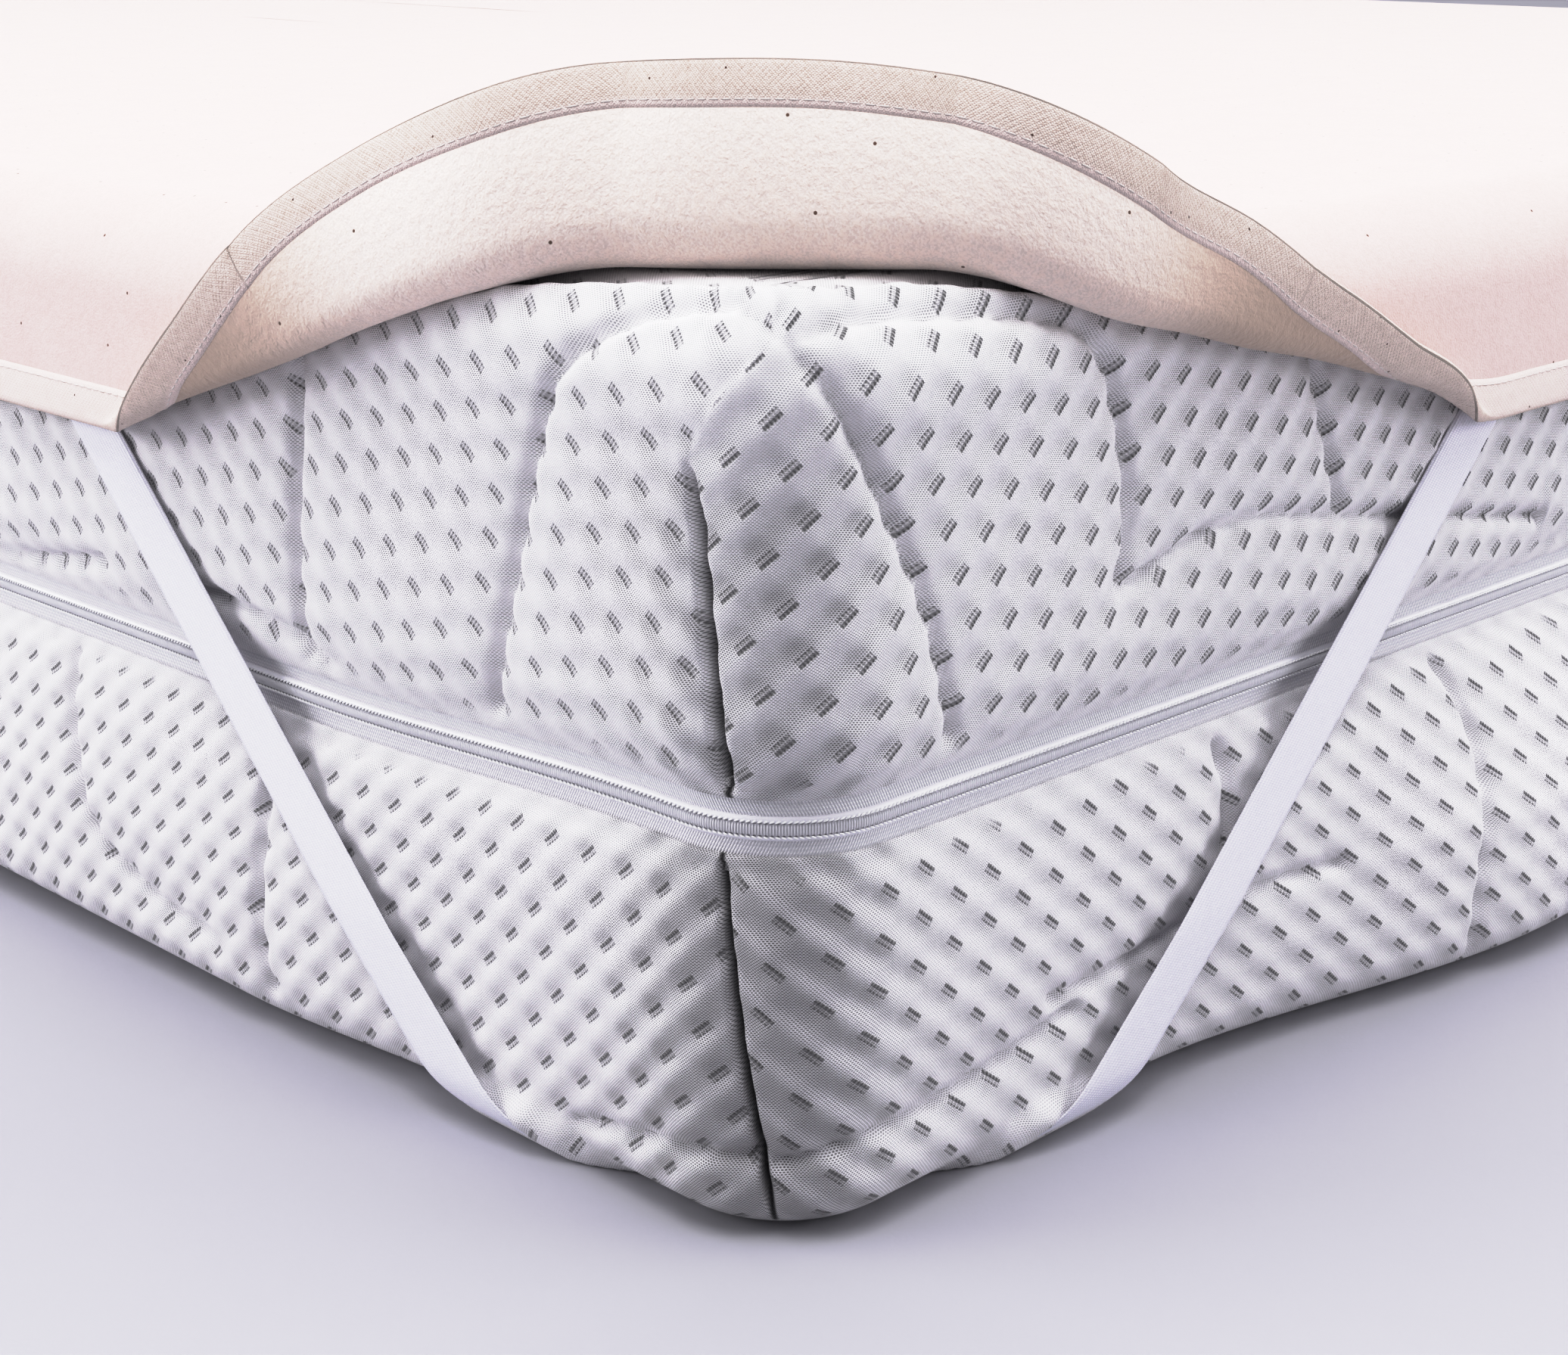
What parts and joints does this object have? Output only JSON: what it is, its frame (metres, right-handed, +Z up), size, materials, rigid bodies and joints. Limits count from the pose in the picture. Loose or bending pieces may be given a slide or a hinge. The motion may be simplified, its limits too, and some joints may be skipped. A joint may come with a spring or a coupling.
{
  "type": "mattress topper on mattress",
  "caption": "Cotton flannel mattress topper with a bound edge and elastic corner straps, on a zip-covered mattress, one corner turned back to show its underside.",
  "frame": {"origin": "middle of the mattress's underside, on the surface it lies on", "axes": "+Z up, +Y along the mattress's length; the turned-back corner is the one at -X, -Y"},
  "size_m": [1.2295, 2.039, 0.2555],
  "materials": {
    "flannel": "natural undyed cotton flannel, smooth weave above and raised fleece below",
    "binding": "plain-weave cotton bias tape, stitched",
    "elastic": "flat woven elastic, fine ribs",
    "knit": "white double knit with a dimpled pattern, quilted on wadding",
    "zip_tape": "woven polyester tape",
    "zip_coil": "translucent nylon coil with its stitches"
  },
  "bodies": {
    "root": {"topper_sheet": "flannel", "topper_binding": "binding", "corner_strap_front_left": "elastic", "corner_strap_front_right": "elastic", "corner_strap_back_right": "elastic", "corner_strap_back_left": "elastic", "mattress_cover_upper": "knit", "mattress_cover_lower": "knit", "zip_tape_upper": "zip_tape", "zip_tape_lower": "zip_tape", "zip_coil": "zip_coil"}
  },
  "joints": []
}
